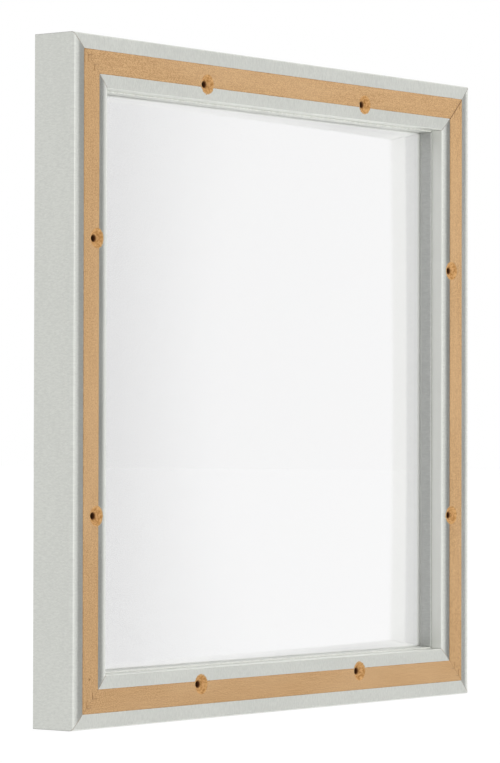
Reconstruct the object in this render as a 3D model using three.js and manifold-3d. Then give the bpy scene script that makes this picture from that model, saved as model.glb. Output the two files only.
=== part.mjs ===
// A square box frame for a folded jersey: four mitred, foil-wrapped rails around a loose pane,
// which four spacer strips hold against the rails' front lip. The back is open.
//
// Millimetres, +Z up. The frame stands on its bottom rail, its front faces -Y and its back +Y.
// Left and right are as seen from the front.
import * as THREE from 'three';
import { mergeVertices } from 'three/addons/utils/BufferGeometryUtils.js';
import Module from 'manifold-3d';

const wasm = await Module();
wasm.setup();

// ---- driving dimensions ----------------------------------------------------

const side = 500;             // outer width and outer height
const depth = 38;             // back strip to front crown

const outerMargin = 11.5;     // foil on the back, outside the bare strip
const stripWidth = 16.5;      // bare strip down the back of each rail
const railWidth = 38.2;       // outer face to the wall of the opening
const stripStep = 0.35;       // the strip stands this far proud of the foil beside it
const outerDrop = 0.7;        // the outer margin bows away this much, down to the outer face
const innerDrop = 1.0;        // and the inner margin this much, down to the opening
const bowShare = 0.25;        // how much of its drop a margin has at half its width
const bowRadius = 40;
const outerCorner = 2.2;      // radius where the outer margin turns into the outer face

const crownWidth = 9;         // flat top of the front, before the hollow
const hollowWidth = 18;       // where the hollow of the front is deepest
const hollowDepth = 27;
const lipWidth = 2.4;         // how far the front lip reaches in under the pane
const lipBack = 22.5;         // depth of the lip's seat for the pane
const sightFront = 24.5;      // depth of the lip's front edge

const foilThickness = 0.4;
const glueLine = 0.1;         // between the foil and the core
const mitreGap = 0.15;        // each rail stops this far short of the mitre plane

const paneThickness = 2;
const paneClearance = 0.8;    // around the pane's edge
const seatGap = 0.25;         // between the lip, the pane, the strips and the wall

const spacerThickness = 1.2;
const spacerDepth = 8.8;

const pitSpacing = 0.4 * side;         // between the two screw pits of a rail
const pitShift = -3;                   // the pair sits this far off the rail's middle
const pitInset = 2.2;                  // pit centre to the strip's inner edge
const pit = { radius: 7.5, depth: 4.2, pilotRadius: 2.25, pilotDepth: 14 };

const nail = { leg: 5, thickness: 0.6, height: 10, sunk: 0.3, clearance: 0.25 };
const nailInsets = { outer: 15.5, inner: 21.8 };   // outer face to each nail's apex

// ---- helpers ---------------------------------------------------------------

const arcSteps = 8;

// Turns a list of { u, v, r } corners into points, with each corner rounded to its radius.
function rounded(corners) {
  const points = [];
  corners.forEach((corner, i) => {
    const at = new THREE.Vector2(corner.u, corner.v);
    if (!corner.r) {
      points.push(at);
      return;
    }
    const back = new THREE.Vector2(corners[i - 1].u, corners[i - 1].v).sub(at).normalize();
    const ahead = new THREE.Vector2(corners[i + 1].u, corners[i + 1].v).sub(at).normalize();
    const half = Math.acos(back.dot(ahead)) / 2;
    const centre = back.clone().add(ahead).normalize().multiplyScalar(corner.r / Math.sin(half)).add(at);
    const from = back.clone().multiplyScalar(corner.r / Math.tan(half)).add(at).sub(centre);
    const turn = (Math.PI - 2 * half) * Math.sign(back.cross(ahead)) * -1;
    for (let k = 0; k <= arcSteps; k++) {
      points.push(from.clone().rotateAround(new THREE.Vector2(), (turn * k) / arcSteps).add(centre));
    }
  });
  return points;
}

// Moves an open path sideways, to its left for a positive distance.
function offset(points, distance) {
  return points.map((point, i) => {
    const before = points[Math.max(i - 1, 0)];
    const after = points[Math.min(i + 1, points.length - 1)];
    const a = i > 0 ? point.clone().sub(before).normalize() : after.clone().sub(point).normalize();
    const b = i < points.length - 1 ? after.clone().sub(point).normalize() : a.clone();
    const along = a.clone().add(b).normalize();
    const reach = distance / along.dot(a);
    return new THREE.Vector2(-along.y, along.x).multiplyScalar(reach).add(point);
  });
}

// A straight bar along X at the top of the frame, with both ends mitred. Its section is drawn
// as u, the distance in from the outer face, and v, the depth forward of the back strip.
function mitredBar(section) {
  const bar = new THREE.ExtrudeGeometry(new THREE.Shape(section), { depth: 1, bevelEnabled: false });
  const place = bar.attributes.position;
  for (let i = 0; i < place.count; i++) {
    const u = place.getX(i);
    const v = place.getY(i);
    const end = 1 - 2 * place.getZ(i);
    place.setXYZ(i, end * (side / 2 - u - mitreGap * Math.SQRT2), depth / 2 - v, side / 2 - u);
  }
  return bar;
}

// A prism with its outline in the plane of the frame, from one depth to another.
function prism(outline, fromDepth, toDepth) {
  const body = new THREE.ExtrudeGeometry(new THREE.Shape(outline), {
    depth: toDepth - fromDepth,
    bevelEnabled: false,
  });
  return body.rotateX(Math.PI / 2).translate(0, depth / 2 - fromDepth, 0);
}

function toSolid(geometry) {
  const bare = geometry.clone();
  bare.deleteAttribute('normal');
  bare.deleteAttribute('uv');
  const merged = mergeVertices(bare, 1e-4);
  return new wasm.Manifold(new wasm.Mesh({
    numProp: 3,
    vertProperties: merged.attributes.position.array,
    triVerts: Uint32Array.from(merged.index.array),
  }));
}

function toGeometry(solid) {
  const mesh = solid.getMesh();
  const geometry = new THREE.BufferGeometry();
  geometry.setAttribute('position', new THREE.BufferAttribute(mesh.vertProperties, 3));
  geometry.setIndex(new THREE.BufferAttribute(mesh.triVerts, 1));
  return geometry;
}

function cut(geometry, cutters) {
  const left = cutters.reduce((solid, cutter) => solid.subtract(toSolid(cutter)), toSolid(geometry));
  return toGeometry(left);
}

// ---- rail section ----------------------------------------------------------

const stripOuter = outerMargin;
const stripInner = outerMargin + stripWidth;
const foilEnd = 0.3;                   // the foil stops this far short of the strip

// The finished outside of a rail, from the strip's outer edge round the front to its inner edge.
const skin = rounded([
  { u: stripOuter - foilEnd, v: stripStep },
  { u: stripOuter / 2, v: stripStep + outerDrop * bowShare, r: bowRadius },
  { u: 0, v: stripStep + outerDrop, r: outerCorner },
  { u: 0, v: depth, r: 0.8 },
  { u: crownWidth, v: depth, r: 3 },
  { u: hollowWidth, v: hollowDepth, r: 16 },
  { u: railWidth + lipWidth, v: sightFront, r: 1.1 },
  { u: railWidth + lipWidth, v: lipBack, r: 0.7 },
  { u: railWidth, v: lipBack, r: 0.7 },
  { u: railWidth, v: stripStep + innerDrop, r: 1.2 },
  { u: (stripInner + railWidth) / 2, v: stripStep + innerDrop * bowShare, r: bowRadius },
  { u: stripInner + foilEnd, v: stripStep },
]);

const foilSection = [...skin, ...offset(skin, foilThickness * -1).reverse()];

const coreSection = [
  ...offset(skin, (foilThickness + glueLine) * -1),
  new THREE.Vector2(stripInner, 0),
  new THREE.Vector2(stripOuter, 0),
];

// ---- screw pits ------------------------------------------------------------

// A shallow cone with a pilot hole at its bottom, as a cutter that stands a little above the back.
function pitCutter(along) {
  const above = 1;
  const flare = (pit.radius - pit.pilotRadius) / pit.depth;
  const profile = [
    new THREE.Vector2(0, -pit.pilotDepth - pit.pilotRadius / 2),
    new THREE.Vector2(pit.pilotRadius, -pit.pilotDepth),
    new THREE.Vector2(pit.pilotRadius, -pit.depth),
    new THREE.Vector2(pit.radius + flare * above, above),
    new THREE.Vector2(0, above),
  ];
  return new THREE.LatheGeometry(profile, 32)
    .translate(along, depth / 2, side / 2 - stripInner + pitInset);
}

const pitCutters = [-0.5, 0.5].map((place) => pitCutter(place * pitSpacing + pitShift));

// ---- corner nails ----------------------------------------------------------

// A V-nail is an L of sheet steel whose apex lies on the mitre, with one leg in each rail.
function nailBody(inset, clearance, fromDepth, toDepth) {
  const apex = side / 2 - inset;
  const half = nail.thickness / 2 + clearance;
  const reach = nail.leg + clearance;
  const outline = [
    new THREE.Vector2(apex + half, apex + half),
    new THREE.Vector2(apex - reach, apex + half),
    new THREE.Vector2(apex - reach, apex - half),
    new THREE.Vector2(apex - half, apex - half),
    new THREE.Vector2(apex - half, apex - reach),
    new THREE.Vector2(apex + half, apex - reach),
  ];
  return prism(outline, fromDepth, toDepth);
}

const quarter = Math.PI / 2;

function nailSlot(inset, corner) {
  const above = 1;
  const floor = nail.sunk + nail.height + nail.clearance;
  return nailBody(inset, nail.clearance, -above, floor).rotateY(corner * quarter);
}

// The top rail holds one leg of each nail at its right end, and of each at its left end.
const nailSlots = [0, -1].flatMap((corner) => (
  Object.values(nailInsets).map((inset) => nailSlot(inset, corner))
));

// ---- pane and spacer strips ------------------------------------------------

const paneFront = lipBack - seatGap;
const paneBack = paneFront - paneThickness;

function pane() {
  const size = side - 2 * (railWidth + paneClearance);
  return new THREE.BoxGeometry(size, paneThickness, size)
    .translate(0, depth / 2 - (paneFront + paneBack) / 2, 0);
}

// Each strip stands against the wall of the opening, with its back edge rounded over.
function spacerSection() {
  const outer = railWidth + seatGap;
  const inner = outer + spacerThickness;
  const front = paneBack - seatGap;
  const back = front - spacerDepth;
  return rounded([
    { u: outer, v: front },
    { u: outer, v: back, r: 0.2 },
    { u: inner, v: back, r: 0.9 },
    { u: inner, v: front },
  ]);
}

// ---- materials -------------------------------------------------------------

const fibreboard = new THREE.MeshStandardMaterial({ color: 0xc49a6c, roughness: 0.85 });
const foil = new THREE.MeshStandardMaterial({ color: 0xcfd0ca, roughness: 0.4, metalness: 0.6 });
const spacerFoil = new THREE.MeshStandardMaterial({ color: 0xb0b1ab, roughness: 0.5, metalness: 0.4 });
const steel = new THREE.MeshStandardMaterial({ color: 0x5c5a57, roughness: 0.5, metalness: 0.9 });
const acrylic = new THREE.MeshStandardMaterial({
  color: 0xf2f4f4,
  roughness: 0.05,
  transparent: true,
  opacity: 0.3,
});

// ---- assembly --------------------------------------------------------------

const coreGeometry = cut(mitredBar(coreSection), [...pitCutters, ...nailSlots]);
const foilGeometry = cut(mitredBar(foilSection), pitCutters);
const spacerGeometry = mitredBar(spacerSection());

function named(name, geometry, material) {
  const mesh = new THREE.Mesh(geometry, material);
  mesh.name = name;
  return mesh;
}

const frame = new THREE.Group();
frame.position.z = side / 2;

// The top rail and the corner at its right end are drawn once, and turned for the other three.
const places = [
  { rail: 'top', corner: 'top_right' },
  { rail: 'right', corner: 'bottom_right' },
  { rail: 'bottom', corner: 'bottom_left' },
  { rail: 'left', corner: 'top_left' },
];

places.forEach((place, i) => {
  const turned = new THREE.Group();
  turned.rotation.y = i * quarter;
  turned.add(named(`rail_core_${place.rail}`, coreGeometry, fibreboard));
  turned.add(named(`foil_wrap_${place.rail}`, foilGeometry, foil));
  turned.add(named(`spacer_strip_${place.rail}`, spacerGeometry, spacerFoil));
  for (const [row, inset] of Object.entries(nailInsets)) {
    const body = nailBody(inset, 0, nail.sunk, nail.sunk + nail.height);
    turned.add(named(`v_nail_${place.corner}_${row}`, body, steel));
  }
  frame.add(turned);
});

frame.add(named('glazing_pane', pane(), acrylic));

const object = new THREE.Group();
object.add(frame);

export default object;
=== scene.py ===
# %% [markdown]
# # A jersey display frame, seen from behind
#
# The object is a deep square picture frame for a folded jersey. Four mitred rails of fibreboard
# are wrapped in silver foil, which stops beside a bare strip down the back of each rail. A clear
# pane lies against the front lip, and four thin strips hold it there.
#
# The measured model comes first. It fixes every size and every moving body, and each piece made
# below is built to it.

# %% Load the measured model
import math

import bmesh
import bpy
from mathutils import Matrix, Vector


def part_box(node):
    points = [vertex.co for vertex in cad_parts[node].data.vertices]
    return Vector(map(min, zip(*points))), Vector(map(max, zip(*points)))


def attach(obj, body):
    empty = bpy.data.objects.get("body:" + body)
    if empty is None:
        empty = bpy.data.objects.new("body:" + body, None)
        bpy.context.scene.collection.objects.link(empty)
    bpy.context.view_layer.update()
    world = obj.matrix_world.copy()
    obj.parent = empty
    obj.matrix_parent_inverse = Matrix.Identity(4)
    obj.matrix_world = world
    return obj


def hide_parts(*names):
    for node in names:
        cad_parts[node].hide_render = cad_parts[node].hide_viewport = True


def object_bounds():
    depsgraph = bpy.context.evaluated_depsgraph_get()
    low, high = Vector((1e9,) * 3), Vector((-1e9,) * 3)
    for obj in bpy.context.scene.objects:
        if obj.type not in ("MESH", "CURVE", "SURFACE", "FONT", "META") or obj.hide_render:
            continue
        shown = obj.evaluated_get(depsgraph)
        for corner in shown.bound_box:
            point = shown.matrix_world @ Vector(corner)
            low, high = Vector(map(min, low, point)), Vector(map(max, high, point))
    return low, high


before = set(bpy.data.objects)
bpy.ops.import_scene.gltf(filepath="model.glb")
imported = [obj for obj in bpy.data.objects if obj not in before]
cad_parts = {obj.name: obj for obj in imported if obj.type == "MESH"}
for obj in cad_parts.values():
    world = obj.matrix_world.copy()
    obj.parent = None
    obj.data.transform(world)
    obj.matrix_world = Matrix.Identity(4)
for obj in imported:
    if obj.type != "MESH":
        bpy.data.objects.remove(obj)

cad_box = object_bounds()
print("box:", [[round(value, 4) for value in corner] for corner in cad_box])

# %% [markdown]
# ## Sizes
#
# The outer side, the back plane and the pane's depth are read from the model, so the scene can
# not drift from it. The rail's section isn't stored in the model as numbers, so its corners are
# written out again here, in metres: u runs in from the outer face, and v forward from the back.
# The model's foil is thick enough to be a sound solid, and this one is as thin as foil looks.

# %% Sizes of the frame
MM = 0.001

low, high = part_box("rail_core_top")
BACK = high.y
SIDE = cad_box[1].z - cad_box[0].z
HALF = SIDE / 2
PLACES = ("top", "right", "bottom", "left")
CORNERS = ("top_right", "bottom_right", "bottom_left", "top_left")
print("side", round(SIDE, 4), "back plane at y", round(BACK, 4))

# %% Sizes of the rail's section
DEPTH = 38 * MM
STRIP_OUTER = 11.5 * MM
STRIP_INNER = 28 * MM
STRIP_STEP = 0.35 * MM
OUTER_DROP = 0.7 * MM
INNER_DROP = 1.0 * MM
BOW_SHARE = 0.25
BOW_RADIUS = 40 * MM
RAIL_WIDTH = 38.2 * MM
CROWN_WIDTH = 9 * MM
HOLLOW_WIDTH = 18 * MM
HOLLOW_DEPTH = 27 * MM
SIGHT_FRONT = 24.5 * MM
LIP_WIDTH = 2.4 * MM
LIP_BACK = 22.5 * MM
STRIP_CHAMFER = 0.22 * MM
FOIL_END = 0.3 * MM
FOIL_THICKNESS = 0.18 * MM
GLUE_LINE = 0.04 * MM
MITRE_GAP = 0.15 * MM
CORE_MITRE_GAP = 0.06 * MM
PIT = {"Pit Radius": 7.5 * MM, "Pit Depth": 4.2 * MM, "Pilot Radius": 2.25 * MM,
       "Pilot Depth": 14 * MM, "Pit Spacing": 0.4 * SIDE, "Pit Shift": -3 * MM,
       "Pit Inset": STRIP_INNER - 2.2 * MM}

# %% [markdown]
# ## Node trees in a few words
#
# Materials and Geometry Nodes are both trees of nodes. One small class wraps a socket, so that
# sums are written as Python and each operator adds its Math node. One method adds any other
# node: it sets the node's own settings first, and then feeds its sockets.

# %% A class for sockets, and one for trees
class Signal:
    """A value on its way through a node tree."""

    def __init__(self, tree, socket):
        self.tree = tree
        self.socket = socket

    def math(self, operation, *values):
        return self.tree.node("ShaderNodeMath", {"operation": operation}, dict(enumerate(values)))[0]

    def __add__(self, other):
        return self.math("ADD", self, other)

    def __sub__(self, other):
        return self.math("SUBTRACT", self, other)

    def __rsub__(self, other):
        return self.math("SUBTRACT", other, self)

    def __mul__(self, other):
        return self.math("MULTIPLY", self, other)

    def __truediv__(self, other):
        return self.math("DIVIDE", self, other)

    def __pow__(self, other):
        return self.math("POWER", self, other)

    def __gt__(self, other):
        return self.math("GREATER_THAN", self, other)

    def __lt__(self, other):
        return self.math("LESS_THAN", self, other)

    def __neg__(self):
        return self.math("MULTIPLY", self, -1)

    def __abs__(self):
        return self.math("ABSOLUTE", self)

    def highest(self, other):
        return self.math("MAXIMUM", self, other)

    __radd__ = __add__
    __rmul__ = __mul__


class Outputs:
    """The outputs of one node, by name, identifier or number."""

    def __init__(self, tree, node):
        self.tree = tree
        self.node = node

    def __getitem__(self, key):
        return Signal(self.tree, find_socket(self.node.outputs, key))


def find_socket(sockets, key):
    if isinstance(key, int):
        return sockets[key]
    for socket in sockets:
        if key in (socket.identifier, socket.name):
            return socket
    raise KeyError(f"no socket {key!r} among {[socket.name for socket in sockets]}")


class Tree:
    """A node tree that starts empty."""

    def __init__(self, tree):
        self.tree = tree
        tree.nodes.clear()

    def node(self, kind, settings=None, sockets=None):
        made = self.tree.nodes.new(kind)
        for key, value in (settings or {}).items():
            setattr(made, key, value)
        for key, value in (sockets or {}).items():
            self.feed(find_socket(made.inputs, key), value)
        return Outputs(self, made)

    def feed(self, socket, value):
        for part in value if isinstance(value, list) else [value]:
            if isinstance(part, Signal):
                self.tree.links.new(part.socket, socket)
            else:
                socket.default_value = part

print("node helpers ready")

# %% [markdown]
# ## The section of a rail
#
# On the real frame a moulder cut this section from board, and a wrapping machine rolled foil
# round it. It is drawn once, as corners with a radius each. The foil is the same line with a
# thickness, and the core is that line moved in by the foil and its glue.

# %% Rounded corners and parallel lines
def rounded(corners, steps=10):
    """Points along corners (u, v, radius), with each corner rounded."""
    points = []
    for i, (u, v, radius) in enumerate(corners):
        corner = Vector((u, v))
        if not radius:
            points.append(corner)
            continue
        back = (Vector(corners[i - 1][:2]) - corner).normalized()
        ahead = (Vector(corners[i + 1][:2]) - corner).normalized()
        half = back.angle(ahead) / 2
        centre = corner + (back + ahead).normalized() * (radius / math.sin(half))
        start = corner + back * (radius / math.tan(half)) - centre
        turn = -math.copysign(math.pi - 2 * half, back.x * ahead.y - back.y * ahead.x)
        points += [centre + Matrix.Rotation(turn * k / steps, 2) @ start for k in range(steps + 1)]
    return points


def parallel(points, distance):
    """The open line of points moved sideways, to its left for a positive distance."""
    moved = []
    for i, point in enumerate(points):
        before = (point - points[i - 1]).normalized() if i else (points[1] - point).normalized()
        after = (points[i + 1] - point).normalized() if i < len(points) - 1 else before
        along = (before + after).normalized()
        moved.append(point + Vector((-along.y, along.x)) * (distance / along.dot(before)))
    return moved

# %% The finished line of the rail
SKIN = rounded([
    (STRIP_OUTER - FOIL_END, STRIP_STEP, 0),
    (STRIP_OUTER / 2, STRIP_STEP + OUTER_DROP * BOW_SHARE, BOW_RADIUS),
    (0, STRIP_STEP + OUTER_DROP, 2.2 * MM),
    (0, DEPTH, 0.8 * MM),
    (CROWN_WIDTH, DEPTH, 3 * MM),
    (HOLLOW_WIDTH, HOLLOW_DEPTH, 16 * MM),
    (RAIL_WIDTH + LIP_WIDTH, SIGHT_FRONT, 0.9 * MM),
    (RAIL_WIDTH + LIP_WIDTH, LIP_BACK, 0.7 * MM),
    (RAIL_WIDTH, LIP_BACK, 0.7 * MM),
    (RAIL_WIDTH, STRIP_STEP + INNER_DROP, 1.2 * MM),
    ((STRIP_INNER + RAIL_WIDTH) / 2, STRIP_STEP + INNER_DROP * BOW_SHARE, BOW_RADIUS),
    (STRIP_INNER + FOIL_END, STRIP_STEP, 0),
])
FOIL_SECTION = SKIN + parallel(SKIN, -FOIL_THICKNESS)[::-1]
CORE_SECTION = parallel(SKIN, -FOIL_THICKNESS - GLUE_LINE) + [
    Vector((STRIP_INNER, STRIP_CHAMFER)),
    Vector((STRIP_INNER - STRIP_CHAMFER, 0)),
    Vector((STRIP_OUTER + STRIP_CHAMFER, 0)),
    Vector((STRIP_OUTER, STRIP_CHAMFER)),
]
print(len(SKIN), "points on the rail's finished line")

# %% [markdown]
# ## One tree for every mitred bar
#
# Rails, cores and spacer strips all follow one rule: a section, carried along a side, whose ends
# lie on the mitre planes. Modelling each by hand would repeat the same work twelve times, so
# one Geometry Nodes tree does it. It sweeps the section along a line, then places every point
# by the rule: the further in from the outer face, the nearer the middle the bar ends.
# Where a bar has screw pits, the tree also cuts them, and a named object cuts the nail slots.

# %% The tree's inputs
FLOAT_INPUTS = ("Half Side", "Back", "Mitre Gap", "Turn", "Ragged Edge", *PIT)


def add_inputs(tree):
    face = tree.interface
    face.new_socket("Section", in_out="INPUT", socket_type="NodeSocketGeometry")
    for name in FLOAT_INPUTS:
        face.new_socket(name, in_out="INPUT", socket_type="NodeSocketFloat")
    face.new_socket("Pieces Along", in_out="INPUT", socket_type="NodeSocketInt")
    face.new_socket("Seed", in_out="INPUT", socket_type="NodeSocketInt")
    face.new_socket("Has Pits", in_out="INPUT", socket_type="NodeSocketBool")
    face.new_socket("Nail Slots", in_out="INPUT", socket_type="NodeSocketObject")
    face.new_socket("Material", in_out="INPUT", socket_type="NodeSocketMaterial")
    face.new_socket("Bar", in_out="OUTPUT", socket_type="NodeSocketGeometry")

# %% Screw pits as cutters
def pit_cutters(tree, given):
    """Two countersinks, each with its pilot hole, over the strip of an unturned top rail."""
    above = 1 * MM
    flare = (given["Pit Radius"] - given["Pilot Radius"]) / given["Pit Depth"]
    pilot, depth = given["Pilot Radius"], given["Pilot Depth"]
    countersink = (given["Pit Radius"] + flare * above, pilot, given["Pit Depth"] + above, above)
    hole = (pilot, pilot, depth + above, above)
    # The drill's tip is a little slimmer and starts inside the hole, so the two cuts join cleanly.
    tip = (pilot * 0.95, 0.0, pilot / 2, 0.1 * MM - depth)
    cutters = []
    for bottom, top, length, start in (countersink, hole, tip):
        cone = tree.node("GeometryNodeMeshCone", None, {
            "Vertices": 48, "Radius Bottom": bottom, "Radius Top": top, "Depth": length})["Mesh"]
        place = tree.node("ShaderNodeCombineXYZ", None, {
            "Y": given["Back"] + start, "Z": given["Half Side"] - given["Pit Inset"]})[0]
        stood = tree.node("GeometryNodeTransform", None, {
            "Geometry": cone, "Translation": place, "Rotation": (math.pi / 2, 0, 0)})[0]
        first = tree.node("ShaderNodeCombineXYZ", None, {
            "X": given["Pit Shift"] - given["Pit Spacing"] * 0.5})[0]
        step = tree.node("ShaderNodeCombineXYZ", None, {"X": given["Pit Spacing"]})[0]
        points = tree.node("GeometryNodeMeshLine", None, {
            "Count": 2, "Start Location": first, "Offset": step})[0]
        copies = tree.node("GeometryNodeInstanceOnPoints", None, {
            "Points": points, "Instance": stood})[0]
        cutters.append(tree.node("GeometryNodeRealizeInstances", None, {"Geometry": copies})[0])
    return cutters

# %% Sweep, place, cut and shade
def sweep(tree, given):
    """The section along a line, with each point put where the mitre rule says."""
    place = tree.node("GeometryNodeInputPosition")[0]
    across = tree.node("ShaderNodeSeparateXYZ", None, {0: place})
    section = given["Section"]
    for name, value in (("inset", across["X"]), ("depth_in", across["Y"])):
        section = tree.node("GeometryNodeStoreNamedAttribute", {"data_type": "FLOAT"}, {
            "Geometry": section, "Name": name, "Value": value})[0]
    profile = tree.node("GeometryNodeMeshToCurve", None, {"Mesh": section})[0]
    line = tree.node("GeometryNodeCurvePrimitiveLine", None, {"Start": (0, 0, 0), "End": (0, 0, 1)})[0]
    path = tree.node("GeometryNodeResampleCurve", None, {
        "Curve": line, "Count": given["Pieces Along"]})[0]
    way = tree.node("GeometryNodeSplineParameter")["Factor"] * 2 - 1
    path = tree.node("GeometryNodeStoreNamedAttribute", {"data_type": "FLOAT"}, {
        "Geometry": path, "Name": "way", "Value": way})[0]
    bar = tree.node("GeometryNodeCurveToMesh", None, {
        "Curve": path, "Profile Curve": profile, "Fill Caps": True})[0]
    read = {name: tree.node("GeometryNodeInputNamedAttribute", {"data_type": "FLOAT"}, {
        "Name": name})[0] for name in ("inset", "depth_in", "way", "free_edge")}
    seed = tree.node("ShaderNodeCombineXYZ", None, {
        "X": read["way"] * given["Half Side"], "Y": read["inset"], "Z": given["Seed"] * 1.7})[0]
    tear = tree.node("ShaderNodeTexNoise", {"noise_dimensions": "3D"}, {
        "Vector": seed, "Scale": 260.0, "Detail": 3.0, "Roughness": 0.7})[0] - 0.5
    inset = read["inset"] + read["free_edge"] * tear * given["Ragged Edge"]
    end = given["Half Side"] - inset - given["Mitre Gap"] * math.sqrt(2)
    spot = tree.node("ShaderNodeCombineXYZ", None, {
        "X": read["way"] * end,
        "Y": given["Back"] - read["depth_in"],
        "Z": given["Half Side"] - inset})[0]
    return tree.node("GeometryNodeSetPosition", None, {"Geometry": bar, "Position": spot})[0]


def bar_tree():
    group = bpy.data.node_groups.new("mitred_bar", "GeometryNodeTree")
    tree = Tree(group)
    add_inputs(group)
    given = tree.node("NodeGroupInput")
    bar = sweep(tree, given)
    drilled = tree.node("GeometryNodeMeshBoolean", {"operation": "DIFFERENCE", "solver": "MANIFOLD"}, {
        "Mesh 1": bar, "Mesh 2": pit_cutters(tree, given)})[0]
    chosen = tree.node("GeometryNodeSwitch", {"input_type": "GEOMETRY"}, {
        "Switch": given["Has Pits"], "False": bar, "True": drilled})[0]
    centre = tree.node("ShaderNodeCombineXYZ", None, {"Z": given["Half Side"]})[0]
    angle = tree.node("ShaderNodeCombineXYZ", None, {"Y": given["Turn"]})[0]
    turned = tree.node("GeometryNodeTransform", None, {
        "Geometry": chosen, "Translation": centre, "Rotation": angle})[0]
    slots = tree.node("GeometryNodeObjectInfo", None, {"Object": given["Nail Slots"]})["Geometry"]
    slotted = tree.node("GeometryNodeMeshBoolean", {"operation": "DIFFERENCE", "solver": "MANIFOLD"}, {
        "Mesh 1": turned, "Mesh 2": slots})[0]
    final = tree.node("GeometryNodeSwitch", {"input_type": "GEOMETRY"}, {
        "Switch": given["Has Pits"], "False": turned, "True": slotted})[0]
    whole = tree.node("GeometryNodeRealizeInstances", None, {"Geometry": final})[0]
    finished = tree.node("GeometryNodeSetMaterial", None, {
        "Geometry": whole, "Material": given["Material"]})[0]
    tree.node("NodeGroupOutput", None, {"Bar": finished})
    return group

BAR_TREE = bar_tree()
print(len(BAR_TREE.nodes), "nodes in the bar's tree")

# %% Run a tree on a section and keep the result as a plain mesh
def section_object(name, points, free=None):
    """A closed line in the XY plane. free says how far each point's edge may be torn."""
    mesh = bpy.data.meshes.new(name)
    count = len(points)
    mesh.from_pydata([(u, v, 0) for u, v in points], [(i, (i + 1) % count) for i in range(count)], [])
    edge = mesh.attributes.new("free_edge", "FLOAT", "POINT")
    for i in range(count):
        edge.data[i].value = (free or {}).get(i, 0)
    made = bpy.data.objects.new(name, mesh)
    bpy.context.scene.collection.objects.link(made)
    return made


def set_inputs(modifier, tree, values):
    for item in tree.interface.items_tree:
        if item.in_out == "INPUT" and item.name in values:
            modifier[item.identifier] = values[item.name]


def grown(name, source, tree, values):
    """The mesh that a tree makes from an object, as a new object at the origin."""
    modifier = source.modifiers.new(tree.name, "NODES")
    modifier.node_group = tree
    set_inputs(modifier, tree, values)
    graph = bpy.context.evaluated_depsgraph_get()
    mesh = bpy.data.meshes.new_from_object(source.evaluated_get(graph))
    source.modifiers.clear()
    mesh.name = name
    piece = bpy.data.objects.new(name, mesh)
    bpy.context.scene.collection.objects.link(piece)
    return piece


def smooth_shaded(piece, angle=32):
    """Faces outward, and every edge softer than the angle is shaded smooth."""
    shape = bmesh.new()
    shape.from_mesh(piece.data)
    bmesh.ops.remove_doubles(shape, verts=shape.verts, dist=0.004 * MM)
    if shape.calc_volume(signed=True) < 0:
        bmesh.ops.reverse_faces(shape, faces=shape.faces)
    for face in shape.faces:
        face.smooth = True
    for edge in shape.edges:
        edge.smooth = edge.calc_face_angle(math.pi) < math.radians(angle)
    open_edges = sum(1 for edge in shape.edges if not edge.is_manifold)
    shape.to_mesh(piece.data)
    shape.free()
    return open_edges

# %% [markdown]
# ## Finishes: where a point is on the frame
#
# Every finish runs along its rail, and the four rails run four ways. Each material works that
# out from the object's own coordinates: how far in from the outer face, how far forward of the
# back, how far along, and how far from the nearest mitre and from the nearest screw pit.

# %% Place on the frame, and a soft step
def new_finish(name):
    material = bpy.data.materials.new(name)
    material.use_nodes = True
    return material, Tree(material.node_tree)


def place_on_frame(tree):
    """Where a point lies on its rail, how far it is from the nearest pit, and which rail it is on."""
    where = tree.node("ShaderNodeTexCoord")["Object"]
    parts = tree.node("ShaderNodeSeparateXYZ", None, {0: where})
    x, y, height = parts["X"], parts["Y"], parts["Z"] - HALF
    wide, tall = abs(x), abs(height)
    upright = wide > tall
    positive = (x + height) > 0
    along = x + upright * (height - x)
    inset = HALF - wide.highest(tall)
    side = (upright * 2 - 1) * (positive * 2 - 1)
    beside_pit = abs(abs(along + side * PIT["Pit Shift"]) - PIT["Pit Spacing"] / 2)
    below_pit = inset - PIT["Pit Inset"]
    return {
        "along": along,
        "inset": inset,
        "depth": BACK - y,
        "mitre": abs(wide - tall),
        "rail": upright * 2 + positive,
        "pit": (beside_pit * beside_pit + below_pit * below_pit) ** 0.5,
        "far_top": (x < 0) * (height > 0),
    }


def ramp(tree, value, start, end):
    """0 below start and 1 above end, with a smooth step between."""
    return tree.node("ShaderNodeMapRange", {"interpolation_type": "SMOOTHSTEP"}, {
        "Value": value, "From Min": start, "From Max": end, "To Min": 0.0, "To Max": 1.0})["Result"]


def pattern(tree, x, y, z, scale=1.0, detail=2.0, roughness=0.5, distortion=0.0):
    """Noise from 0 to 1 over three coordinates."""
    vector = tree.node("ShaderNodeCombineXYZ", None, {"X": x, "Y": y, "Z": z})[0]
    return tree.node("ShaderNodeTexNoise", None, {
        "Vector": vector, "Scale": scale, "Detail": detail, "Roughness": roughness,
        "Distortion": distortion})["Fac"]


def blend_colour(tree, factor, first, second):
    return tree.node("ShaderNodeMix", {"data_type": "RGBA"}, {
        "Factor_Float": factor, "A_Color": first, "B_Color": second})["Result_Color"]


def grey(value):
    return (value, value, value, 1)


def bump(tree, height, strength, distance):
    return tree.node("ShaderNodeBump", None, {
        "Height": height, "Strength": strength, "Distance": distance})["Normal"]


def white_rays(tree):
    """1 for the camera's own rays and for perfect mirror images, which see plain white."""
    path = tree.node("ShaderNodeLightPath")
    return path["Is Camera Ray"].highest(path["Is Singular Ray"])


def finish_with(tree, values):
    shader = tree.node("ShaderNodeBsdfPrincipled", None, values)["BSDF"]
    tree.node("ShaderNodeOutputMaterial", None, {"Surface": shader})

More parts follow.
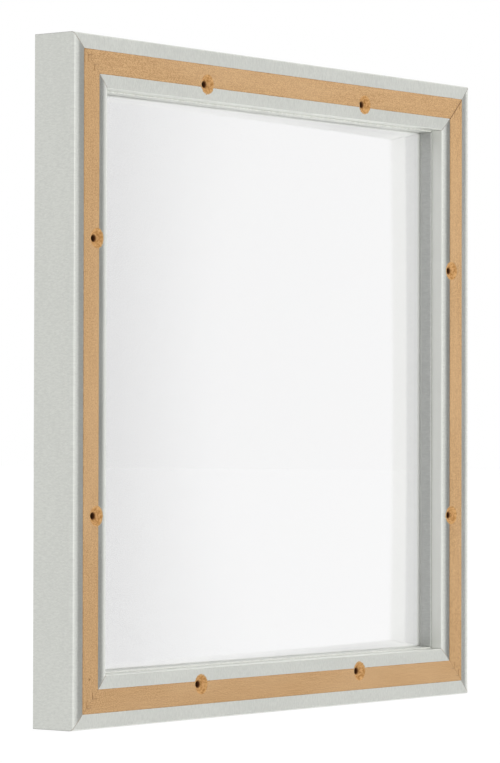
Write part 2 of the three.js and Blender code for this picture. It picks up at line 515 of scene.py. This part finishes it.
# %% [markdown]
# ## Silver foil
#
# The wrap is a thin metallised film on paper. Its silver is slightly green-grey, it carries a
# fine crinkle whose short ridges run across the rail, and it has slow, faint clouds from the glue
# beneath. The ridges smear what the metal mirrors along the rail, so a level rail and an upright
# one mirror the same studio differently. They are far too small to model or to draw, so the
# metal shader is anisotropic, and a fine noise varies its tone and bump. The grain has to run
# along the rail, so there is one foil for level rails and one for upright ones. At the mitres
# the foil's cut edge is dull, and round the screw pits flakes of it are torn off the board.
# The rails' inner walls are painted a much lighter silver, which is painted light. The spacer
# strips' foil is painted lighter on the level strips, which is painted light, and darker grey
# on the upright ones, which is painted shade.

# %% Foil
def foil_finish(name, silver, dark, turned, wrapped):
    """turned is the grain's turn in full circles. wrapped is 1 for the rails' foil, which pits cut, and
    whose inner wall gets painted light.
    """
    material, tree = new_finish(name)
    at = place_on_frame(tree)
    around = at["inset"] + at["depth"]
    seed = at["rail"] * 31.7
    ridges = pattern(tree, at["along"] * 750, around * 240, seed, 1.0, 2.0, 0.6, 0.2)
    threads = pattern(tree, at["along"] * 1900, around * 500, seed, 1.0, 1.0, 0.5)
    clouds = pattern(tree, at["along"] * 16, around * 40, seed, 1.0, 3.0, 0.55)
    dents = pattern(tree, at["along"] * 60, around * 60, seed, 1.0, 2.0, 0.5)
    relief = ridges * 0.6 + threads * 0.4
    tone = blend_colour(tree, ramp(tree, relief * 0.75 + clouds * 0.25, 0.36, 0.64), dark, silver)
    # The rails' inner wall and lip are painted a much lighter silver: painted light.
    painted_light_wall = ramp(tree, at["inset"], RAIL_WIDTH - 0.8 * MM, RAIL_WIDTH - 0.1 * MM) * wrapped
    tone = blend_colour(tree, painted_light_wall, tone, PAINTED_LIGHT_SILVER)
    cut_edge = 1 - ramp(tree, at["mitre"], 0.2 * MM, 0.9 * MM)
    tone = blend_colour(tree, cut_edge * 0.35, tone, (0.42, 0.42, 0.39, 1))
    torn = pattern(tree, at["along"] * 900, at["inset"] * 900, seed, 1.0, 2.0, 0.6) - 0.5
    rim = at["pit"] + torn * 2.2 * MM
    flaked = 1 - ramp(tree, rim, PIT["Pit Radius"] + 0.1 * MM, PIT["Pit Radius"] + 0.4 * MM)
    flaked = flaked * wrapped * (at["depth"] < 4 * MM)
    tone = blend_colour(tree, flaked, tone, (0.50, 0.30, 0.12, 1))
    finish_with(tree, {
        "Base Color": tone,
        "Metallic": (0.9 - cut_edge * 0.3) * (1 - flaked),
        "Roughness": 0.41 + (clouds - 0.5) * 0.1 + flaked * 0.3,
        "Anisotropic": 0.92,
        "Anisotropic Rotation": turned,
        "Normal": bump(tree, relief + dents * 1.5, 0.6, 0.05 * MM),
    })
    return material


def level_grain(piece):
    """Turns the shader's grain along a level rail.

    Left alone, it circles the upright axis through the middle of the piece's texture space. That
    space is moved far off here, so the circle's arc is as good as straight along the rail.
    """
    piece.data.use_auto_texspace = False
    piece.data.texspace_location = (0, -100, 0)
    piece.data.texspace_size = (1, 1, 1)

SILVER = (0.735, 0.748, 0.705, 1)
SILVER_DARK = (0.650, 0.662, 0.624, 1)
# A much lighter silver, painted light, for the rails' inner walls and the level spacer strips.
PAINTED_LIGHT_SILVER = (0.930, 0.940, 0.895, 1)
# A darker grey, painted shade, for the upright spacer strips.
PAINTED_SHADE_SPACER = (0.640, 0.652, 0.628, 1)
PAINTED_SHADE_SPACER_DARK = (0.560, 0.571, 0.550, 1)
FOILS = [foil_finish("foil_level", SILVER, SILVER_DARK, 0.0, 1.0),
         foil_finish("foil_upright", SILVER, SILVER_DARK, 0.25, 1.0)]
# The level spacers' foil is painted lighter, which is painted light, and the upright spacers' foil
# darker, which is painted shade.
SPACER_FOILS = [foil_finish("spacer_level", PAINTED_LIGHT_SILVER, SILVER, 0.0, 0.0),
                foil_finish("spacer_upright", PAINTED_SHADE_SPACER, PAINTED_SHADE_SPACER_DARK, 0.25, 0.0)]
print("foils:", [foil.name for foil in FOILS + SPACER_FOILS])

# %% [markdown]
# ## Bare fibreboard
#
# The strip is the bare core: a light wood board with fine flecks and faint long lines, scattered
# darker specks, a few larger stains, and two gouges near the foot of one upright. Inside the
# screw pits the cut turns across the fibres, so it is redder and rougher. The pilot hole is
# painted dark, and darker the deeper it goes, which is painted shade. The lines are noise drawn
# out along the rail, the pits' colour comes from how deep a point lies, and the mitres show as
# dark joints, one of them a little open.

# %% Fibreboard
GOUGES = [(-214 * MM, 18.5 * MM), (-231 * MM, 20.5 * MM)]    # along and in, on the right rail
BOARD_DARK = (0.355, 0.205, 0.088, 1)
BOARD_LIGHT = (0.570, 0.360, 0.178, 1)
RAW_DARK = (0.38, 0.180, 0.045, 1)
RAW_LIGHT = (0.64, 0.375, 0.150, 1)


def board_finish():
    material, tree = new_finish("fibreboard")
    at = place_on_frame(tree)
    turn = at["rail"] * 17.3
    along, inset, depth = at["along"], at["inset"], at["depth"]
    flecks = pattern(tree, along * 900, inset * 1400, depth * 1200 + turn, 1.0, 2.0, 0.7)
    lines = pattern(tree, along * 45, inset * 1300, depth * 900 + turn, 1.0, 2.0, 0.6)
    fibres = flecks * 0.8 + lines * 0.2
    specks = pattern(tree, along * 600, inset * 1300, depth * 900 - turn, 1.0, 2.0, 0.6)
    stains = pattern(tree, along * 26, inset * 70, turn, 1.0, 3.0, 0.6)
    clouds = pattern(tree, along * 9, inset * 30, turn, 1.0, 2.0, 0.5)
    tone = blend_colour(tree, ramp(tree, fibres, 0.36, 0.64), BOARD_DARK, BOARD_LIGHT)
    tone = blend_colour(tree, ramp(tree, clouds, 0.35, 0.7) * 0.35, tone, (0.56, 0.37, 0.20, 1))
    tone = blend_colour(tree, ramp(tree, specks, 0.66, 0.74) * 0.5, tone, (0.30, 0.165, 0.075, 1))
    tone = blend_colour(tree, ramp(tree, stains, 0.66, 0.76) * 0.45, tone, (0.36, 0.20, 0.09, 1))
    gouged = depth * 0
    for gouge_along, gouge_inset in GOUGES:
        beside = (along - gouge_along) * 1.3
        above = inset - gouge_inset
        reach = (beside * beside + above * above) ** 0.5 + (specks - 0.5) * 2.4 * MM
        gouged = gouged.highest(1 - ramp(tree, reach, 0.5 * MM, 1.4 * MM))
    right_rail = at["rail"] > 2.5
    tone = blend_colour(tree, gouged * right_rail * 0.75, tone, (0.17, 0.085, 0.030, 1))
    sunk = ramp(tree, depth, 0.05 * MM, 0.3 * MM)
    torn = pattern(tree, along * 420, inset * 420, depth * 700 + turn, 1.0, 3.0, 0.7)
    raw = blend_colour(tree, ramp(tree, torn, 0.36, 0.62), RAW_DARK, RAW_LIGHT)
    tone = blend_colour(tree, sunk * 0.9, tone, raw)
    joint = 1 - ramp(tree, at["mitre"], 0.3 * MM, 0.9 * MM)
    tone = blend_colour(tree, joint * (0.12 + at["far_top"] * 0.6), tone, (0.10, 0.05, 0.02, 1))
    # The pilot hole is painted dark brown at its mouth and near black further down, darker the deeper it
    # goes: painted shade.
    pilot_shade = ramp(tree, depth, 3.3 * MM, PIT["Pit Depth"])
    pilot_depth_shade = ramp(tree, depth, 4.0 * MM, 9.0 * MM)
    pilot_shade_tone = blend_colour(tree, pilot_depth_shade, (0.13, 0.052, 0.016, 1), (0.03, 0.012, 0.006, 1))
    tone = blend_colour(tree, pilot_shade, tone, pilot_shade_tone)
    relief = fibres * 0.7 + specks * 0.5 + torn * sunk * 2.5
    finish_with(tree, {
        "Base Color": tone,
        "Roughness": 0.72 + (fibres - 0.5) * 0.2,
        "Specular IOR Level": 0.25,
        "Normal": bump(tree, relief, 0.6, 0.2 * MM),
    })
    return material

BOARD = board_finish()

# %% [markdown]
# ## Nail steel
#
# The corner nails are blued steel, driven just under the surface. Dust from the board fills the
# slots, so they read as dull brown.

# %% Nail steel
def steel_finish():
    material, tree = new_finish("nail_steel")
    where = tree.node("ShaderNodeTexCoord")["Object"]
    dust = tree.node("ShaderNodeTexNoise", None, {"Vector": where, "Scale": 900.0, "Detail": 3.0})["Fac"]
    dusty = ramp(tree, dust, 0.38, 0.6)
    tone = blend_colour(tree, dusty, (0.30, 0.185, 0.092, 1), (0.46, 0.290, 0.145, 1))
    finish_with(tree, {
        "Base Color": tone,
        "Metallic": 0.45 - dusty * 0.4,
        "Roughness": 0.45 + dust * 0.3,
        "Normal": bump(tree, dust, 0.4, 0.1 * MM),
    })
    return material

STEEL = steel_finish()

# %% [markdown]
# ## Clear pane
#
# The pane is a thin acrylic sheet. Nearly all light goes straight through it, and more is
# mirrored the flatter it is seen. A refracting shader would need many samples for so plain a
# sheet, so a transparent shader is mixed with a mirror, by how flat the surface is seen. Faint
# wipe marks vary the mix, and a very fine haze in the bump softens the mirror image.

# %% Acrylic
def acrylic_finish():
    material, tree = new_finish("clear_acrylic")
    where = tree.node("ShaderNodeTexCoord")["Object"]
    wipes = tree.node("ShaderNodeTexNoise", None, {
        "Vector": where, "Scale": 14.0, "Detail": 4.0, "Distortion": 1.5})["Fac"]
    haze = tree.node("ShaderNodeTexNoise", None, {"Vector": where, "Scale": 2600.0, "Detail": 1.0})["Fac"]
    flat = tree.node("ShaderNodeLayerWeight", None, {"Blend": 0.5})["Facing"]
    clear = tree.node("ShaderNodeBsdfTransparent", None, {"Color": (0.948, 0.948, 0.950, 1)})[0]
    mirror = tree.node("ShaderNodeBsdfPrincipled", None, {
        "Base Color": (0.98, 0.98, 0.98, 1), "Metallic": 1.0, "Roughness": 0.0,
        "Normal": bump(tree, haze, 0.3, 0.04 * MM)})[0]
    share = flat * flat * 1.35 + 0.045 + wipes * 0.01
    surface = tree.node("ShaderNodeMixShader", None, {0: share, 1: clear, 2: mirror})[0]
    tree.node("ShaderNodeOutputMaterial", None, {"Surface": surface})
    return material

ACRYLIC = acrylic_finish()
print("finishes made:", [material.name for material in (BOARD, STEEL, ACRYLIC)])

# %% [markdown]
# ## Nail slots
#
# Each corner has two V-nails. Their slots are the nails of the measured model, grown a very
# little and carried out through the back, so the steel shows at the bottom of a fine V.

# %% Slots round the model's nails
SLOT_CLEARANCE = 0.02 * MM
NAIL_TOP_WITHIN = 2 * MM


def nail_slots():
    """One object with a V-shaped prism round every nail, to cut the cores with."""
    shape = bmesh.new()
    for corner in CORNERS:
        for row in ("outer", "inner"):
            copy = bmesh.new()
            copy.from_mesh(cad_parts[f"v_nail_{corner}_{row}"].data)
            bmesh.ops.remove_doubles(copy, verts=copy.verts, dist=0.01 * MM)
            for vertex in copy.verts:
                vertex.co += vertex.normal * SLOT_CLEARANCE
                if vertex.co.y > BACK - NAIL_TOP_WITHIN:
                    vertex.co.y = BACK + 1 * MM
            mesh = bpy.data.meshes.new("slot")
            copy.to_mesh(mesh)
            copy.free()
            shape.from_mesh(mesh)
            bpy.data.meshes.remove(mesh)
    mesh = bpy.data.meshes.new("nail_slots")
    shape.to_mesh(mesh)
    shape.free()
    made = bpy.data.objects.new("nail_slots", mesh)
    bpy.context.scene.collection.objects.link(made)
    return made

SLOTS = nail_slots()

# %% [markdown]
# ## Cores and foil wraps
#
# Each rail is two pieces, as on the bench: the core, drilled and slotted, and the foil round it.
# The foil's free edges beside the strip are slightly torn, so it is swept in many short steps.
# Its pits are cut a little wider than the core's, where the drill lifted it.

# %% Rails
def make_bar(name, node, body, slot, section, **values):
    inputs = {"Half Side": HALF, "Back": BACK, "Mitre Gap": MITRE_GAP, "Pieces Along": 2, "Seed": 1,
              "Has Pits": False, "Ragged Edge": 0.0, **PIT, **values}
    piece = grown(name, section, BAR_TREE, inputs)
    open_edges = smooth_shaded(piece)
    if abs(math.sin(inputs["Turn"])) < 0.5:
        level_grain(piece)
    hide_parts(node)
    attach(piece, body)
    print(name, len(piece.data.polygons), "faces,", open_edges, "open edges")
    return piece

last = len(SKIN) - 1
free_edges = {0: 1, last: -1, last + 1: -1, len(FOIL_SECTION) - 1: 1}
foil_line = section_object("foil_line", FOIL_SECTION, free_edges)
core_line = section_object("core_line", CORE_SECTION)

for i, place in enumerate(PLACES):
    turn = i * math.pi / 2
    common = {"Turn": turn, "Seed": i + 1, "Has Pits": True}
    make_bar(f"core_{place}", f"rail_core_{place}", "frame", "fibreboard", core_line,
             **{**common, "Nail Slots": SLOTS, "Pieces Along": 40, "Mitre Gap": CORE_MITRE_GAP,
                "Material": BOARD})
    make_bar(f"foil_{place}", f"foil_wrap_{place}", "frame", "foil", foil_line,
             **{**common, "Pieces Along": 240, "Ragged Edge": 0.35 * MM,
                "Pit Radius": PIT["Pit Radius"] + 0.2 * MM, "Material": FOILS[i % 2]})

# %% [markdown]
# ## Spacer strips
#
# Four thin strips stand on the pane against the walls. They are the same bar with a small
# section, and each one lifts out on its own. They sit a touch closer to the wall and the pane
# than in the measured model, so that no dark crack shows between them.
# Their foil is painted in two tones: lighter on the level strips, which is painted light, and darker on
# the upright ones, which is painted shade.

# %% Spacers
CLOSER = 0.2 * MM


def spacer_section():
    low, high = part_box("spacer_strip_top")
    outer = SIDE - high.z - CLOSER
    inner = SIDE - low.z
    back = BACK - high.y
    front = BACK - low.y + CLOSER
    return rounded([
        (outer, front, 0),
        (outer, back, 0.2 * MM),
        (inner, back, 0.9 * MM),
        (inner, front, 0),
    ])

spacer_line = section_object("spacer_line", spacer_section())
for i, place in enumerate(PLACES):
    make_bar(f"spacer_{place}", f"spacer_strip_{place}", f"spacer_{place}", "spacer_foil", spacer_line,
             Turn=i * math.pi / 2, Seed=i + 9, **{"Pieces Along": 40, "Material": SPACER_FOILS[i % 2]})

# %% [markdown]
# ## Pane
#
# A sheet with its sharp arrises taken off, so its edge catches a fine line of light.

# %% Pane
def make_pane():
    low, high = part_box("glazing_pane")
    shape = bmesh.new()
    bmesh.ops.create_cube(shape, size=1)
    for vertex in shape.verts:
        vertex.co = Vector([low[k] if vertex.co[k] < 0 else high[k] for k in range(3)])
    bmesh.ops.bevel(shape, geom=shape.edges[:], offset=0.3 * MM, segments=3, profile=0.5, affect="EDGES")
    for face in shape.faces:
        face.smooth = True
    for edge in shape.edges:
        edge.smooth = edge.calc_face_angle(0) < math.radians(32)
    mesh = bpy.data.meshes.new("pane")
    shape.to_mesh(mesh)
    shape.free()
    mesh.materials.append(ACRYLIC)
    piece = bpy.data.objects.new("pane", mesh)
    bpy.context.scene.collection.objects.link(piece)
    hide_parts("glazing_pane")
    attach(piece, "glazing")

make_pane()

# %% Nails keep their model shape
for corner in CORNERS:
    for row in ("outer", "inner"):
        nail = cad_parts[f"v_nail_{corner}_{row}"]
        nail.data.materials.clear()
        nail.data.materials.append(STEEL)

for helper in (foil_line, core_line, spacer_line, SLOTS):
    bpy.data.objects.remove(helper)

# %% [markdown]
# ## Floor, light and camera
#
# The studio is white all round, with a floor that melts into it. Silver needs something dark to
# mirror, or it looks like white paint. So the white surround has one tall, narrow dark gap, in
# the direction that the flat back of the rails mirrors to the camera, with brighter white on
# both sides of it. The foil smears what it mirrors along the rail, so the tall gap darkens the
# upright rails and hardly shows in the level ones. The camera itself sees only white.

# %% Floor
def make_floor():
    material, tree = new_finish("floor_paper")
    where = tree.node("ShaderNodeTexCoord")["Object"]
    grain = tree.node("ShaderNodeTexNoise", None, {"Vector": where, "Scale": 300.0, "Detail": 2.0})["Fac"]
    tone = blend_colour(tree, grain, grey(0.88), grey(0.92))
    paper = tree.node("ShaderNodeBsdfPrincipled", None, {
        "Base Color": tone, "Roughness": 0.9, "Specular IOR Level": 0.1,
        "Emission Color": (1, 1, 1, 1), "Emission Strength": 0.25})["BSDF"]
    glow = tree.node("ShaderNodeEmission", None, {"Color": (1, 1, 1, 1), "Strength": 1.0})[0]
    surface = tree.node("ShaderNodeMixShader", None, {0: white_rays(tree) * 0.85, 1: paper, 2: glow})[0]
    tree.node("ShaderNodeOutputMaterial", None, {"Surface": surface})
    mesh = bpy.data.meshes.new("floor")
    reach = 20
    corners = [(-reach, -reach, 0), (reach, -reach, 0), (reach, reach, 0), (-reach, reach, 0)]
    mesh.from_pydata(corners, [], [(0, 1, 2, 3)])
    mesh.materials.append(material)
    floor = bpy.data.objects.new("floor", mesh)
    floor.location.z = cad_box[0].z - 0.2 * MM
    bpy.context.scene.collection.objects.link(floor)
    floor.visible_glossy = False

make_floor()

# %% World
# Brightness of the surround, of the part beyond the frame and of the white beside the gap.
SURROUND = 0.93
BACKDROP = 1.05
BESIDE_GAP = 1.5
# Turns from +Y towards -X where the gap starts, is dark, stays dark until and ends, and the
# heights above the horizon between which it fades.
GAP = [math.radians(angle) for angle in (40, 46, 62, 71)]
GAP_TOP = [math.radians(angle) for angle in (45, 68)]
FLANK = [math.radians(angle) for angle in (38, 60)]
BEHIND_TURN = math.radians(76)
BEHIND = [math.radians(angle) for angle in (25, 50)]


def make_world():
    world = bpy.data.worlds.new("white_surround")
    world.use_nodes = True
    tree = Tree(world.node_tree)
    towards = tree.node("ShaderNodeTexCoord")["Generated"]
    parts = tree.node("ShaderNodeSeparateXYZ", None, {0: towards})
    turn = parts["X"].math("ARCTAN2", -parts["X"], parts["Y"])
    up = parts["Z"].math("ARCSINE", parts["Z"])
    gap = ramp(tree, turn, GAP[0], GAP[1]) * (1 - ramp(tree, turn, GAP[2], GAP[3]))
    gap = gap * (1 - ramp(tree, abs(up), GAP_TOP[0], GAP_TOP[1]))
    middle = (GAP[0] + GAP[3]) / 2
    flank = 1 - ramp(tree, abs(turn - middle), FLANK[0], FLANK[1])
    behind = 1 - ramp(tree, abs(turn - (middle + BEHIND_TURN)), BEHIND[0], BEHIND[1])
    studio = blend_colour(tree, flank, grey(SURROUND), grey(BESIDE_GAP))
    studio = blend_colour(tree, behind, studio, grey(BACKDROP))
    tone = blend_colour(tree, gap, studio, grey(0.01))
    seen = blend_colour(tree, white_rays(tree), tone, grey(1.0))
    light = tree.node("ShaderNodeBackground", None, {"Color": seen, "Strength": 1.0})[0]
    tree.node("ShaderNodeOutputWorld", None, {"Surface": light})
    bpy.context.scene.world = world

make_world()

# %% A soft box on the far side
def make_softbox():
    data = bpy.data.lights.new("softbox", "AREA")
    data.shape = "DISK"
    data.size = 0.6
    data.energy = 4.0
    light = bpy.data.objects.new("softbox", data)
    place = Vector((-0.75, 0.85, 1.25))
    aim = Vector((0, 0, HALF)) - place
    light.matrix_world = Matrix.Translation(place) @ aim.to_track_quat("-Z", "Y").to_matrix().to_4x4()
    light.visible_camera = False
    light.visible_glossy = False
    bpy.context.scene.collection.objects.link(light)

make_softbox()

# %% Camera
VIEW_TURN = math.radians(52.116)
VIEW_TILT = math.radians(0.988)
VIEW_ROLL = math.radians(0.117)
VIEW_DISTANCE = 2.741
AIM = Vector((0.0082, -0.0096, 0.2532))


def make_camera():
    data = bpy.data.cameras.new("camera")
    data.lens = 167.5
    data.sensor_width = 36
    forward = Vector((-math.sin(VIEW_TURN) * math.cos(VIEW_TILT),
                      -math.cos(VIEW_TURN) * math.cos(VIEW_TILT), math.sin(VIEW_TILT)))
    right = forward.cross(Vector((0, 0, 1))).normalized()
    up = right.cross(forward)
    level = Matrix((right, up, -forward)).transposed()
    camera = bpy.data.objects.new("camera", data)
    camera.matrix_world = Matrix.Translation(AIM - forward * VIEW_DISTANCE) @ (
        level @ Matrix.Rotation(VIEW_ROLL, 3, "Z")).to_4x4()
    bpy.context.scene.collection.objects.link(camera)
    bpy.context.scene.camera = camera

make_camera()
bpy.context.scene.view_settings.view_transform = "Standard"
